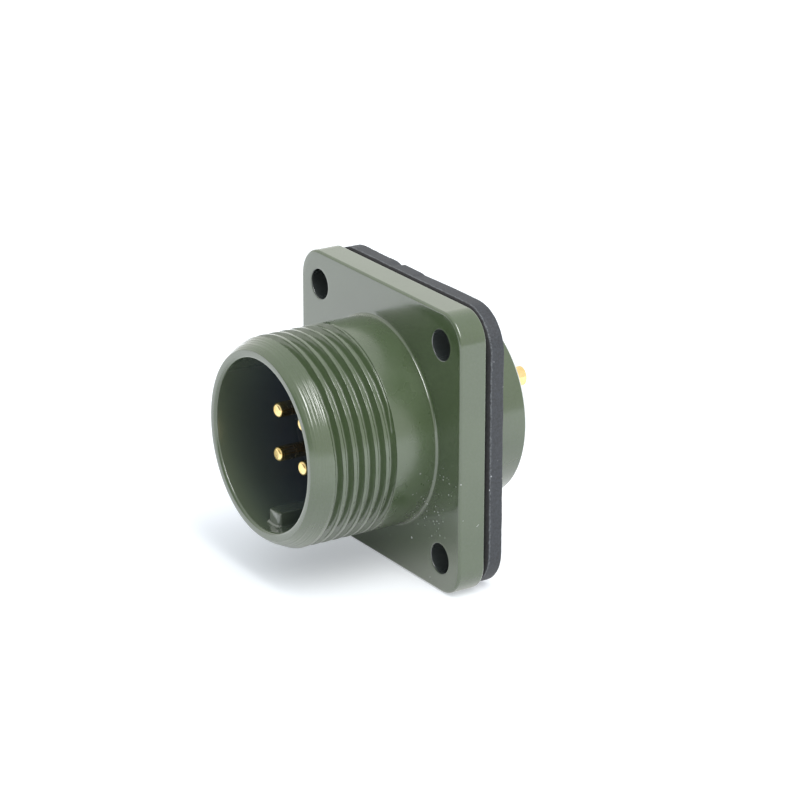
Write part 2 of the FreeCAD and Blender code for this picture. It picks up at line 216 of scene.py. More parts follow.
# and as (y, z, radius) on the gasket's right side
RUBBER_SPECKS = [
    (-1.41, -2.16, 0.09), (-1.6, -3.61, 0.08), (-0.1, -2.63, 0.06), (-1.27, 10.06, 0.05),
    (-1.0, 7.57, 0.05), (-1.1, 6.21, 0.04), (-0.72, 4.85, 0.04), (-1.5, -11.4, 0.05),
    (-0.6, -12.12, 0.05)]
# The finer dust round the barrel's foot, as (point, inner reach, outer reach, share of the cells)
CLUSTERS = [
    ((10.4, FLANGE_FRONT, -7.6), 1.0, 4.6, 0.62),
    ((12.6, FLANGE_FRONT, -3.2), 0.5, 4.0, 0.6)]
# The share of a placed speck's radius that the dust covers fully
SPECK_CORE = 0.7

# Colours and surfaces. A gloss is a range of roughness
OLIVE_DARK = (0.052, 0.085, 0.029, 1)
OLIVE_LIGHT = (0.062, 0.098, 0.037, 1)
OLIVE_GRAIN = (0.078, 0.108, 0.056, 1)
# Painted light at the socket's mouth, and the darker, bluer painted shade it fades to deeper in the bore
BORE_PAINTED_LIGHT = (0.125, 0.152, 0.098, 1)
BORE_PAINTED_SHADE = (0.080, 0.099, 0.122, 1)
HOLE_WALL = (0.060, 0.068, 0.064, 1)
PAINT_DUST = (0.66, 0.67, 0.66, 1)
PAINT_GLOSS = (0.16, 0.22)
COAT_ROUGHNESS = 0.12
PLAIN_DULLER = 0.09
FOOT_GLOSSIER = 0.08
FOOT_COAT_GLOSSIER = 0.06
DUST_ROUGHER = 0.6
CRUMB_EDGE = (0.25, 0.16)
CRUMB_STRENGTH = 0.6
RUBBER_DARK = (0.012, 0.014, 0.018, 1)
RUBBER_LIGHT = (0.052, 0.057, 0.068, 1)
# A painted highlight, pale and broken, along the edge of the gasket's dark front band
RUBBER_PAINTED_HIGHLIGHT = (0.16, 0.17, 0.18, 1)
# Painted shade for the gasket's front edge where it meets the flange
RUBBER_PAINTED_SHADE = (0.003, 0.003, 0.004, 1)
RUBBER_DUST = (0.62, 0.63, 0.65, 1)
RUBBER_GLOSS = (0.46, 0.66)
CREASE_ROUGHER = 0.3
GOLD_WARM = (0.96, 0.70, 0.27, 1)
GOLD_PALE = (1.0, 0.79, 0.40, 1)
GOLD_SHAFT = (0.80, 0.66, 0.44, 1)
GOLD_GLOSS = (0.16, 0.28)
INSULATOR_DARK = (0.010, 0.011, 0.014, 1)
INSULATOR_LIGHT = (0.020, 0.021, 0.026, 1)
INSULATOR_GLOSS = (0.38, 0.5)
STEEL_DARK = (0.36, 0.36, 0.37, 1)
STEEL_LIGHT = (0.52, 0.52, 0.53, 1)
STEEL_GLOSS = (0.28, 0.42)
# Two ranges of a noise's values, a wide and a narrow one, that recipes stretch to other ranges
NOISE_RANGE = (0.3, 0.7)
NOISE_MIDDLE = (0.35, 0.65)

# Stage. Levels are brightnesses, and 1 is white
FLOOR = shell_low[2] * MM
FLOOR_HALF = 3.0
FLOOR_DARK = 0.71
FLOOR_LIGHT = 0.73
# A painted shadow: the floor's glow for the camera dips round this point under the barrel
PAINTED_SHADOW_CENTRE = (-3, -11, FLOOR / MM)
# A painted shade in reflections: the floor's glow that reflections see is dimmed round this point
REFLECTED_SHADE_CENTRE = (-12, -4, FLOOR / MM)
# How a level changes between two distances in metres, as (near, far, level near, level far)
OPEN_FLOOR = (0.10, 0.60, 0.50, 1.0)
PAINTED_SHADOW_DIP = (0.0, 0.020, 0.16, 0.0)
MIRRORED_NEAR = (0.006, 0.026, 0.05, 0.47)
MIRRORED_FAR = (0.040, 0.064, 0.0, 0.15)
FILL = 0.32
SKY = 1.0
FILL_TINT = (0.90, 0.97, 1.04)
FRONT_LEVEL = 0.26
TOP_LEVEL = 0.95
# The directions, as Y and as Z, over which the darker front and the top fade in for reflections
FRONT_EDGE = (-0.92, -0.6)
TOP_EDGE = (0.6, 0.95)
WHITE = (1, 1, 1, 1)
WARM_WHITE = (1, 1, 0.97, 1)
COOL_WHITE = (0.92, 0.95, 1.0, 1)
LAMP_DIRECTION = (0.57, -0.05, 0.81)
LAMP_DISTANCE = 0.8
LAMP_WIDTH = 0.34
LAMP_HEIGHT = 0.7
LAMP_POWER = 4.2
LAMP_LAYERS = (0.3, 0.5, 0.7, 0.85, 1.0)
LAMP_LAYER_GAP = 0.002

# Camera, fitted to the photograph
AZIMUTH = math.radians(57.435)
ELEVATION = math.radians(20.579)
ROLL = math.radians(-0.022)
CAMERA_DISTANCE = 356.169
PHOTO_SIDE_PIXELS = 800
FOCAL_PIXELS = 3445.916
AIM_PIXEL = (378.697, 419.315)
SENSOR_WIDTH = 36
CLIP_START = 0.01


# Mesh tools
def softened(points, steps=3):
    """An open line through (a, b, radius) points, with an arc of that radius at each inner one."""
    longest_share = 0.48
    straight = math.pi - 0.01
    line = [np.array(points[0][:2], float)]
    for before, corner, after in zip(points, points[1:], points[2:]):
        here = np.array(corner[:2], float)
        back = np.array(before[:2], float) - here
        ahead = np.array(after[:2], float) - here
        room = longest_share * min(np.linalg.norm(back), np.linalg.norm(ahead))
        back /= np.linalg.norm(back)
        ahead /= np.linalg.norm(ahead)
        opening = math.acos(max(-1.0, min(1.0, float(back @ ahead))))
        if corner[2] == 0 or opening > straight:
            line.append(here)
            continue
        reach = min(corner[2] / math.tan(opening / 2), room)
        radius = reach * math.tan(opening / 2)
        middle = (back + ahead) / np.linalg.norm(back + ahead)
        centre = here + middle * radius / math.sin(opening / 2)
        first = (here + back * reach - centre) / radius
        last = (here + ahead * reach - centre) / radius
        turn = math.atan2(first[0] * last[1] - first[1] * last[0], float(first @ last))
        for step in range(steps + 1):
            angle = turn * step / steps
            arm = [first[0] * math.cos(angle) - first[1] * math.sin(angle),
                   first[0] * math.sin(angle) + first[1] * math.cos(angle)]
            line.append(centre + radius * np.array(arm))
    line.append(np.array(points[-1][:2], float))
    return np.array(line)


def inside_loop(points, loop):
    """Which points lie inside a closed loop, by counting crossings."""
    loop = np.asarray(loop)
    inside = np.zeros(len(points), bool)
    for (x0, z0), (x1, z1) in zip(loop, np.roll(loop, -1, 0)):
        crosses = (points[:, 1] < z0) != (points[:, 1] < z1)
        if crosses.any():
            meet = x0 + (points[crosses, 1] - z0) * (x1 - x0) / (z1 - z0)
            inside[crosses] ^= points[crosses, 0] < meet
    return inside


class Skin:
    """Collects grids of points in mm and welds them into one mesh."""

    def __init__(self):
        self.points = []
        self.faces = []
        self.count = 0

    def add(self, points):
        points = np.asarray(points, float).reshape(-1, 3)
        first = self.count
        self.points.append(points)
        self.count += len(points)
        return first

    def rings(self, rings, closed=True):
        """Joins rings of equally many points."""
        rings = np.asarray(rings, float)
        rows, columns = rings.shape[:2]
        first = self.add(rings)
        index = first + np.arange(rows * columns).reshape(rows, columns)
        following = np.roll(index, -1, 1) if closed else index[:, 1:]
        here = index if closed else index[:, :-1]
        quads = np.stack([here[:-1], following[:-1], following[1:], here[1:]], -1)
        self.faces.extend(map(tuple, quads.reshape(-1, 4).tolist()))

    def fill(self, loops, place):
        """Fills the flat area inside the first loop of (x, z) and outside the others, at a place along Y."""
        corners, edges = [], []
        for loop in loops:
            start = len(corners)
            corners.extend(Vector((x, z)) for x, z in loop)
            edges.extend((start + step, start + (step + 1) % len(loop)) for step in range(len(loop)))
        made = delaunay_2d_cdt(corners, edges, [], 0, 1e-7)
        flat = np.array([corner[:] for corner in made[0]])
        triangles = np.array(made[2])
        middles = flat[triangles].mean(1)
        kept = inside_loop(middles, loops[0])
        for loop in loops[1:]:
            kept &= ~inside_loop(middles, loop)
        first = self.add(np.stack([flat[:, 0], np.full(len(flat), place), flat[:, 1]], -1))
        self.faces.extend(tuple(row) for row in (first + triangles[kept]).tolist())

    def build(self, name, material, sharp=40):
        """Makes the piece. Edges sharper than an angle in degrees stay sharp in its shading."""
        mesh = bpy.data.meshes.new(name)
        mesh.from_pydata((np.concatenate(self.points) * MM).tolist(), [], self.faces)
        work = bmesh.new()
        work.from_mesh(mesh)
        bmesh.ops.remove_doubles(work, verts=work.verts, dist=WELD * MM)
        bmesh.ops.dissolve_degenerate(work, dist=1e-8, edges=work.edges)
        bmesh.ops.recalc_face_normals(work, faces=work.faces)
        work.to_mesh(mesh)
        work.free()
        mesh.shade_smooth()
        mesh.set_sharp_from_angle(angle=math.radians(sharp))
        mesh.materials.append(material)
        piece = bpy.data.objects.new(name, mesh)
        bpy.context.scene.collection.objects.link(piece)
        weighted = piece.modifiers.new("even_shading", "WEIGHTED_NORMAL")
        weighted.keep_sharp = True
        return piece


def ring_at(radius, place, angles):
    """A ring about the mating axis. Its radius and its place are one number or one per angle."""
    radius = np.broadcast_to(radius, angles.shape)
    place = np.broadcast_to(place, angles.shape)
    return np.stack([radius * np.cos(angles), place, radius * np.sin(angles)], -1)


def circle_loop(radius, across=0.0, up=0.0, count=HOLE_COLUMNS):
    angles = np.linspace(0, 2 * math.pi, count, endpoint=False)
    return np.stack([across + radius * np.cos(angles), up + radius * np.sin(angles)], -1)


def square_loop(half, corner, inset, arc_steps=14, side_steps=1):
    """A square with round corners, moved inwards by an inset."""
    middle = half - corner
    radius = corner - inset
    quarter_turn = np.array([[0.0, -1.0], [1.0, 0.0]])
    loop = []
    for quarter in range(4):
        start = quarter * math.pi / 2
        diagonal = start + math.pi / 4
        centre = middle * math.sqrt(2) * np.array([math.cos(diagonal), math.sin(diagonal)])
        angles = [start + step * math.pi / 2 / arc_steps for step in range(arc_steps + 1)]
        arc = [centre + radius * np.array([math.cos(angle), math.sin(angle)]) for angle in angles]
        loop.extend(arc)
        next_start = quarter_turn @ arc[0]
        for step in range(1, side_steps):
            loop.append(arc[-1] + (next_start - arc[-1]) * step / side_steps)
    return np.array(loop)


def lifted(loop, place):
    """A loop of (x, z) at a place along Y."""
    return np.stack([loop[:, 0], np.full(len(loop), place), loop[:, 1]], -1)


# Materials
class Nodes:
    """Short calls for building a node tree."""

    def __init__(self, tree):
        self.tree = tree

    def node(self, kind, **settings):
        made = self.tree.nodes.new(kind)
        for key, setting in settings.items():
            setattr(made, key, setting)
        return made

    def link(self, source, target):
        self.tree.links.new(source, target)

    def put(self, target, source):
        if isinstance(source, bpy.types.NodeSocket):
            self.link(source, target)
        else:
            target.default_value = source

    def maths(self, operation, *terms):
        made = self.node("ShaderNodeMath", operation=operation)
        for target, term in zip(made.inputs, terms):
            self.put(target, term)
        return made.outputs[0]

    def strongest(self, shares):
        total = shares[0]
        for share in shares[1:]:
            total = self.maths("MAXIMUM", total, share)
        return total

    def spread(self, source, low, high, to_low=0.0, to_high=1.0, smooth=False):
        """Takes a range to another range, and holds what lies outside it at the ends."""
        shape = "SMOOTHSTEP" if smooth else "LINEAR"
        made = self.node("ShaderNodeMapRange", interpolation_type=shape)
        for key, term in (("Value", source), ("From Min", low), ("From Max", high),
                          ("To Min", to_low), ("To Max", to_high)):
            self.put(made.inputs[key], term)
        return made.outputs["Result"]

    def blend(self, share, first, second):
        made = self.node("ShaderNodeMix", data_type="RGBA")
        for key, term in (("Factor", share), (6, first), (7, second)):
            self.put(made.inputs[key], term)
        return made.outputs[2]


class Recipe(Nodes):
    """A material. Sizes are in mm in its calls, and in metres in its nodes."""

    def __init__(self, name):
        self.material = bpy.data.materials.new(name)
        self.material.use_nodes = True
        super().__init__(self.material.node_tree)
        self.shader = self.tree.nodes["Principled BSDF"]
        self.where = self.node("ShaderNodeTexCoord").outputs["Object"]

    def set(self, key, term):
        self.put(self.shader.inputs[key], term)

    def axes(self):
        """The place as separate X, Y and Z, in metres."""
        made = self.node("ShaderNodeSeparateXYZ")
        self.link(self.where, made.inputs[0])
        return made.outputs

    def away(self, point):
        """The distance in metres from a point that is given in mm."""
        made = self.node("ShaderNodeVectorMath", operation="DISTANCE")
        self.link(self.where, made.inputs[0])
        made.inputs[1].default_value = [side * MM for side in point]
        return made.outputs["Value"]

    def off_axis(self, axes, across=0.0, up=0.0):
        """The distance in metres from the lines along Y at plus and minus across and up."""
        away = self.node("ShaderNodeCombineXYZ")
        for side, centre in (("X", across), ("Z", up)):
            span = self.maths("SUBTRACT", self.maths("ABSOLUTE", axes[side]), centre * MM)
            self.link(span, away.inputs[side])
        length = self.node("ShaderNodeVectorMath", operation="LENGTH")
        self.link(away.outputs[0], length.inputs[0])
        return length.outputs["Value"]

    def step(self, source, low, high, to_low=0.0, to_high=1.0):
        """A spread whose range is in mm."""
        return self.spread(source, low * MM, high * MM, to_low, to_high)

    def past(self, source, place):
        """1 past a place in mm, and 0 before it."""
        return self.maths("GREATER_THAN", source, place * MM)

    def before(self, source, place):
        """1 before a place in mm, and 0 past it."""
        return self.maths("LESS_THAN", source, place * MM)

    def both(self, first, second):
        return self.maths("MULTIPLY", first, second)

    def near(self, point, radius):
        """1 at a point, falling to 0 at a radius."""
        return self.step(self.away(point), radius, radius * SPECK_CORE)

    def grain(self, size, detail=2.0, roughness=0.5, where=None):
        """Noise whose features are about a size."""
        made = self.node("ShaderNodeTexNoise")
        made.inputs["Scale"].default_value = 1 / (size * MM)
        made.inputs["Detail"].default_value = detail
        made.inputs["Roughness"].default_value = roughness
        self.link(where or self.where, made.inputs["Vector"])
        return made.outputs["Fac"]

    def hoops(self, size, squeeze):
        """Noise drawn out into hoops round the mating axis."""
        stretch = self.node("ShaderNodeMapping")
        stretch.inputs["Scale"].default_value = (squeeze, 1.0, squeeze)
        self.link(self.where, stretch.inputs["Vector"])
        return self.grain(size, where=stretch.outputs["Vector"])

    def cells(self, size):
        """Cells of about a size, with a random Color each and the Distance from the middle."""
        made = self.node("ShaderNodeTexVoronoi")
        made.inputs["Scale"].default_value = 1 / (size * MM)
        self.link(self.where, made.inputs["Vector"])
        return made.outputs

    def specks(self, size, rarity, edge, strength=1.0):
        """Round specks in the cells whose colour is past a rarity, fading over an edge."""
        cells = self.cells(size)
        chosen = self.spread(cells["Color"], *rarity)
        return self.both(chosen, self.spread(cells["Distance"], *edge, 0.0, strength))

    def bump(self, height, distance, normal=None):
        """Raises the surface by a height from 0 to 1, over a distance."""
        made = self.node("ShaderNodeBump")
        made.inputs["Distance"].default_value = distance * MM
        self.link(height, made.inputs["Height"])
        if normal:
            self.link(normal, made.inputs["Normal"])
        return made.outputs["Normal"]


def grey(level):
    return (level, level, level, 1)


def paint_colour(r, axes, reach):
    """Olive in slight patches; inside the bore a painted light, palest at the mouth and fading to a darker,
    bluer painted shade deeper in; and grey in the screw holes.
    """
    patches = r.spread(r.grain(5.0, detail=3.0), *NOISE_MIDDLE)
    fine = r.spread(r.grain(0.28, detail=3.0, roughness=0.6), *NOISE_MIDDLE, 0.0, 0.35)
    olive = r.blend(fine, r.blend(patches, OLIVE_DARK, OLIVE_LIGHT), OLIVE_GRAIN)
    # Inside the socket the olive gives way to painted light at the mouth, which fades to painted shade
    # deeper in
    bore = r.both(r.before(reach, SOCKET_RADIUS + 0.03), r.before(axes["Y"], WEB_FRONT + 0.5))
    depth = r.step(axes["Y"], RIM + 0.5, RIM + 8.0)
    bore_painted_light_and_shade = r.blend(depth, BORE_PAINTED_LIGHT, BORE_PAINTED_SHADE)
    # A greyer colour inside the screw holes
    off_hole = r.off_axis(axes, HOLE_OFFSET, HOLE_OFFSET)
    hole_grey = r.step(off_hole, HOLE_RADIUS + 0.02, HOLE_RADIUS + 0.1, 1.0, 0.0)
    return r.blend(hole_grey, r.blend(bore, olive, bore_painted_light_and_shade), HOLE_WALL)


def paint_dust(r):
    """Where dust lies: scattered specks, fine crumbs round the foot, and the ones placed one by one."""
    scattered = r.specks(1.15, rarity=(0.95, 0.98), edge=(0.06, 0.04))
    cells = r.cells(0.42)
    common = r.strongest([r.step(r.away(point), inner, outer, share, 0.0)
                          for point, inner, outer, share in CLUSTERS])
    chosen = r.maths("GREATER_THAN", cells["Color"], r.maths("SUBTRACT", 1.0, common))
    crumbs = r.both(chosen, r.spread(cells["Distance"], *CRUMB_EDGE, 0.0, CRUMB_STRENGTH))
    placed = [r.near((x, FLANGE_FRONT, z), radius) for x, z, radius in FACE_SPECKS]
    placed += [r.near((HALF_SIDE, y, z), radius) for y, z, radius in SIDE_SPECKS]
    return r.strongest([scattered, crumbs] + placed)


def olive_paint():
    """Semi-gloss olive paint with fine orange peel, duller on the plain barrel and glossier on its foot."""
    r = Recipe("olive_paint")
    axes = r.axes()
    reach = r.off_axis(axes)
    dust = paint_dust(r)
    r.set("Base Color", r.blend(dust, paint_colour(r, axes, reach), PAINT_DUST))

    plain = r.both(r.past(axes["Y"], THREAD_END), r.before(axes["Y"], FLANGE_FRONT - FOOT_ROUND))
    foot = r.both(r.past(axes["Y"], FLANGE_FRONT - FOOT_ROUND - 0.03),
                  r.before(reach, BARREL_RADIUS + FOOT_ROUND + 0.03))
    foot = r.both(foot, r.before(axes["Y"], FLANGE_FRONT + 0.1))
    duller = r.maths("MULTIPLY", plain, PLAIN_DULLER)
    gloss = r.maths("ADD", r.spread(r.grain(2.2), *NOISE_RANGE, *PAINT_GLOSS), duller)
    gloss = r.maths("SUBTRACT", gloss, r.maths("MULTIPLY", foot, FOOT_GLOSSIER))
    r.set("Roughness", r.maths("ADD", gloss, r.maths("MULTIPLY", dust, DUST_ROUGHER)))
    r.set("IOR", 1.85)
    r.set("Coat Weight", 1.0)
    r.set("Coat IOR", 1.35)
    coat = r.maths("ADD", duller, COAT_ROUGHNESS)
    r.set("Coat Roughness", r.maths("SUBTRACT", coat, r.maths("MULTIPLY", foot, FOOT_COAT_GLOSSIER)))

    peel = r.bump(r.grain(0.45, roughness=0.55), 0.004)
    peel = r.bump(r.grain(0.12), 0.001, peel)
    crest = r.both(r.step(reach, BARREL_RADIUS - 0.12, BARREL_RADIUS - 0.04),
                   r.before(axes["Y"], THREAD_END))
    nose = r.both(r.past(reach, RIM_RADIUS - 0.1), r.step(axes["Y"], CONE_END + 0.2, CONE_END))
    marks = r.both(r.hoops(0.16, 0.03), r.strongest([crest, nose]))
    r.set("Normal", r.bump(dust, 0.012, r.bump(marks, 0.05, peel)))
    return r.material


def gasket_rubber():
    """Matt rubber sheet with an open grain, a painted shade that darkens its front edge against the flange,
    a painted highlight line just behind that, and pale specks.
    """
    r = Recipe("gasket_rubber")
    axes = r.axes()
    grain = r.grain(0.22, detail=4.0, roughness=0.75)
    colour = r.blend(r.spread(grain, 0.35, 0.68), RUBBER_DARK, RUBBER_LIGHT)
    wander = r.spread(r.grain(0.5, detail=3.0), 0.2, 0.8, -0.08 * MM, 0.08 * MM)
    ragged = r.maths("ADD", axes["Y"], wander)
    # Painted shade: the front band against the flange is darkened nearly to black
    crease_painted_shade = r.step(ragged, CREASE_END, CREASE_END - 0.12)
    # A painted highlight: a pale, broken line just behind the dark front band
    painted_edge_highlight = r.both(r.step(ragged, CREASE_END - 0.02, CREASE_END + 0.05),
                  r.step(ragged, CREASE_END + 0.2, CREASE_END + 0.08))
    colour = r.blend(r.both(painted_edge_highlight, r.spread(grain, 0.4, 0.6)), colour, RUBBER_PAINTED_HIGHLIGHT)
    colour = r.blend(crease_painted_shade, colour, RUBBER_PAINTED_SHADE)
    scattered = r.specks(0.6, rarity=(0.80, 0.86), edge=(0.14, 0.07), strength=0.45)
    placed = [r.near((HALF_SIDE, y, z), radius) for y, z, radius in RUBBER_SPECKS]
    r.set("Base Color", r.blend(r.strongest([scattered] + placed), colour, RUBBER_DUST))
    matt = r.spread(grain, *NOISE_RANGE, *RUBBER_GLOSS)
    r.set("Roughness", r.maths("ADD", matt, r.maths("MULTIPLY", crease_painted_shade, CREASE_ROUGHER)))
    r.set("IOR", 1.6)
    r.set("Normal", r.bump(grain, 0.03))
    return r.material


def gold_plate():
    """Gold plating over turned brass, duller on the pins' shafts, with faint tool lines."""
    r = Recipe("gold_plate")
    axes = r.axes()
    tone = r.spread(r.grain(0.8, detail=3.0), *NOISE_MIDDLE)
    gold = r.blend(tone, GOLD_WARM, GOLD_PALE)
    shaft = r.both(r.step(axes["Y"], PIN_TIP + 0.5, PIN_TIP + 1.2), r.before(axes["Y"], WEB_FRONT))
    r.set("Base Color", r.blend(shaft, gold, GOLD_SHAFT))
    r.set("Metallic", 1.0)
    lines = r.hoops(0.06, 0.05)
    r.set("Roughness", r.spread(lines, *NOISE_RANGE, *GOLD_GLOSS))
    r.set("Normal", r.bump(lines, 0.002))
    return r.material


def black_insulator():
    """Satin moulded insulator."""
    r = Recipe("black_insulator")
    grain = r.grain(0.2, detail=3.0)
    r.set("Base Color", r.blend(grain, INSULATOR_DARK, INSULATOR_LIGHT))
    r.set("Roughness", r.spread(grain, *NOISE_RANGE, *INSULATOR_GLOSS))
    r.set("Normal", r.bump(grain, 0.006))
    return r.material


def ring_steel():
    """Spring steel with a drawn surface."""
    r = Recipe("ring_steel")
    grain = r.grain(0.15, detail=3.0)
    r.set("Base Color", r.blend(grain, STEEL_DARK, STEEL_LIGHT))
    r.set("Metallic", 1.0)
    r.set("Roughness", r.spread(grain, *NOISE_RANGE, *STEEL_GLOSS))
    r.set("Normal", r.bump(grain, 0.004))
    return r.material


PAINT = olive_paint()
RUBBER = gasket_rubber()
GOLD = gold_plate()
INSULATOR = black_insulator()
STEEL = ring_steel()


# Shell
def soft_least(first, second, width):
    """The smaller of two radii, with the step between them rounded over a width."""
    return 0.5 * (first + second - np.sqrt((first - second) ** 2 + width ** 2))


def soft_most(first, second, width):
    """The larger of two radii, with the step between them rounded over a width."""
    return 0.5 * (first + second + np.sqrt((first - second) ** 2 + width ** 2))


def lumps(along, size):
    """Smooth unevenness from -1 to 1 along a line, with features of about a size."""
    place = along / size
    low = np.floor(place).astype(int)
    share = place - low
    share = share * share * (3 - 2 * share)
    return LUMPS[low % len(LUMPS)] * (1 - share) + LUMPS[(low + 1) % len(LUMPS)] * share


bare_line = softened([
    (RIM, RIM_RADIUS, 0), (NOSE_END, NOSE_RADIUS, NOSE_ROUND), (CONE_END, BARREL_RADIUS, CONE_ROUND),
    (PLAIN_FRONT, BARREL_RADIUS, 0)])


def bare_radius(places):
    """The barrel's radius before the thread is cut."""
    return np.interp(places, bare_line[:, 0], bare_line[:, 1])


def groove_radius(off, rise):
    """The radius in a thread groove at a distance from its middle. The rise makes it shallower."""
    flank = BARREL_RADIUS - (THREAD_HALF - rise * THREAD_SLOPE - off) / THREAD_SLOPE
    return soft_most(flank, BARREL_RADIUS - THREAD_DEPTH + rise, ROOT_SOFTNESS)


def barrel_radius(angles, places):
    """The barrel's radius with its right-hand thread.

    The first turn rises out of the cone at the far left. The last one comes out of a round groove, which
    goes on beside it as a shallow step. Paint lies unevenly on the crests' edges.
    """
    turn = (THREAD_STOP - places) / PITCH - angles / (2 * math.pi)
    groove = np.maximum(np.round(turn), 0)
    along = (groove + angles / (2 * math.pi)) * 2 * math.pi * BARREL_RADIUS
    uneven = UNEVEN * lumps(along + np.where(turn > groove, UNEVEN_SHIFT, 0.0), UNEVEN_LENGTH)

    fade = np.where(groove == FIRST_TURN, np.clip((angles + math.pi) / START_ARC, 0, 1), 0.0)
    cut = groove_radius(np.abs(turn - groove) * PITCH + uneven, FADE_RISE * fade)
    cut = np.where(((groove == 0) & (angles < 0)) | (groove > FIRST_TURN), UNCUT, cut)

    rise = np.interp(angles, END_ARCS, END_RISES)
    middle = THREAD_END - THREAD_HALF + rise * THREAD_SLOPE
    end = groove_radius(np.abs(places - middle) + uneven, rise)

    tooled = np.interp(places, TOOLED_ZONE, (0, 1, 1, 0))
    lines = TOOL_LINES * tooled * lumps(places + TOOL_LINE_SHIFT, TOOL_LINE_WIDTH)
    return soft_least(soft_least(bare_radius(places), cut, CREST_SOFTNESS), end, CREST_SOFTNESS) + lines


def slot_radius(angles):
    """The rear cavity's radius with the index slot at its top."""
    inside = np.abs(np.cos(angles)) * SLOT_TOP <= SLOT_HALF * 1.001 * np.abs(np.sin(angles))
    slot = SLOT_TOP / np.maximum(np.sin(angles), 0.1)
    return np.where(inside & (np.sin(angles) > 0), slot, CAVITY_RADIUS)


slot_edges = [math.acos(SLOT_HALF / CAVITY_RADIUS), math.atan2(SLOT_TOP, SLOT_HALF)]
slot_edges += [math.pi - edge for edge in slot_edges]
ANGLES = np.sort(np.concatenate([
    np.linspace(-math.pi, math.pi, COLUMNS, endpoint=False), slot_edges]))


def add_thread(skin):
    """Rows that run along the thread's helix, cut off at both ends of the threaded zone."""
    steps = {0.5} | set(HALF_PITCH_ROWS) | {1 - share for share in HALF_PITCH_ROWS[1:]}
    seam = np.append(ANGLES, math.pi)
    rows = []
    for turn in TURNS:
        for step in sorted(steps | set(LAST_EDGE_ROWS) if turn == TURNS[0] else steps):
            places = THREAD_STOP - PITCH * (turn + step + seam / (2 * math.pi))
            places = np.clip(places, CONE_END, PLAIN_FRONT)
            rows.append(ring_at(barrel_radius(seam, places), places, seam))
    skin.rings(rows, closed=False)


def add_barrel(skin):
    """The nose, the plain barrel with its foot, and the socket down to the web."""

    def barrel_ring(place):
        return ring_at(barrel_radius(ANGLES, place), place, ANGLES)

    skin.rings([barrel_ring(place) for place in np.linspace(CONE_END, NOSE_START, NOSE_ROWS)])
    plain = softened([
        (PLAIN_FRONT, BARREL_RADIUS, 0), (FLANGE_FRONT, BARREL_RADIUS, FOOT_ROUND),
        (FLANGE_FRONT, BARREL_RADIUS + FOOT_SPREAD, 0)], 4)
    skin.rings([barrel_ring(PLAIN_FRONT)] + [ring_at(radius, place, ANGLES) for place, radius in plain[1:]])
    socket = softened([
        (NOSE_START, bare_radius(NOSE_START), 0), (RIM, RIM_RADIUS, RIM_EDGE),
        (RIM, SOCKET_RADIUS, RIM_ROUND), (WEB_FRONT, SOCKET_RADIUS, SOCKET_CORNER),
        (WEB_FRONT, WEB_RADIUS, WEB_EDGE), (WEB_REAR, WEB_RADIUS, WEB_EDGE),
        (WEB_REAR, CAVITY_RADIUS, 0)], 4)
    skin.rings([barrel_ring(NOSE_START)]
               + [ring_at(radius, place, ANGLES) for place, radius in socket[1:-1]]
               + [ring_at(slot_radius(ANGLES), WEB_REAR, ANGLES)])


def add_cavity(skin):
    """The rear cavity with its ring groove and index slot, and the rear barrel round it."""
    groove_front = ring_low[1] - RING_GAP
    groove_rear = ring_high[1] + RING_GAP
    cavity = softened([
        (WEB_REAR, CAVITY_RADIUS, 0), (groove_front, CAVITY_RADIUS, GROOVE_EDGE),
        (groove_front, GROOVE_RADIUS, GROOVE_EDGE), (groove_rear, GROOVE_RADIUS, GROOVE_EDGE),
        (groove_rear, CAVITY_RADIUS, GROOVE_EDGE), (SHELL_REAR, CAVITY_RADIUS, REAR_EDGE),
        (SHELL_REAR, REAR_RADIUS - REAR_CHAMFER, REAR_EDGE),
        (SHELL_REAR - REAR_CHAMFER, REAR_RADIUS, REAR_EDGE),
        (FLANGE_REAR, REAR_RADIUS, REAR_FOOT_ROUND), (FLANGE_REAR, REAR_RADIUS + REAR_FOOT_SPREAD, 0)])
    rings = []
    for place, radius in cavity:
        around = np.full(len(ANGLES), radius)
        if radius < SLOT_TOP:
            ease = min(radius - CAVITY_RADIUS, SLOT_EASE)
            around = np.maximum(radius, slot_radius(ANGLES) + ease)
        rings.append(ring_at(around, place, ANGLES))
    skin.rings(rings)


def add_flange(skin):
    edge = softened([
        (FLANGE_FRONT, FACE_INSET, 0), (FLANGE_FRONT, 0, FLANGE_EDGE), (FLANGE_REAR, 0, FLANGE_EDGE),
        (FLANGE_REAR, FACE_INSET, 0)], 5)
    skin.rings([lifted(square_loop(HALF_SIDE, FLANGE_CORNER, inset), place) for place, inset in edge])
    hole = softened([
        (FLANGE_FRONT, HOLE_RADIUS + HOLE_LIP, 0), (FLANGE_FRONT, HOLE_RADIUS, HOLE_FRONT_EDGE),
        (FLANGE_REAR, HOLE_RADIUS, HOLE_REAR_EDGE), (FLANGE_REAR, HOLE_RADIUS + HOLE_LIP, 0)], 4)
    for across, up in HOLES:
        skin.rings([lifted(circle_loop(radius, across, up), place) for place, radius in hole])
    for place, radius in ((FLANGE_FRONT, BARREL_RADIUS + FOOT_SPREAD),
                          (FLANGE_REAR, REAR_RADIUS + REAR_FOOT_SPREAD)):
        middle = ring_at(radius, place, ANGLES)[:, [0, 2]]
        loops = [square_loop(HALF_SIDE, FLANGE_CORNER, FACE_INSET), middle]
        loops += [circle_loop(HOLE_RADIUS + HOLE_LIP, across, up) for across, up in HOLES]
        skin.fill(loops, place)


def build_shell():
    skin = Skin()
    add_thread(skin)
    add_barrel(skin)
    add_cavity(skin)
    add_flange(skin)
    piece = skin.build("shell_body", PAINT)
    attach(piece, "root")
    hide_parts("shell")


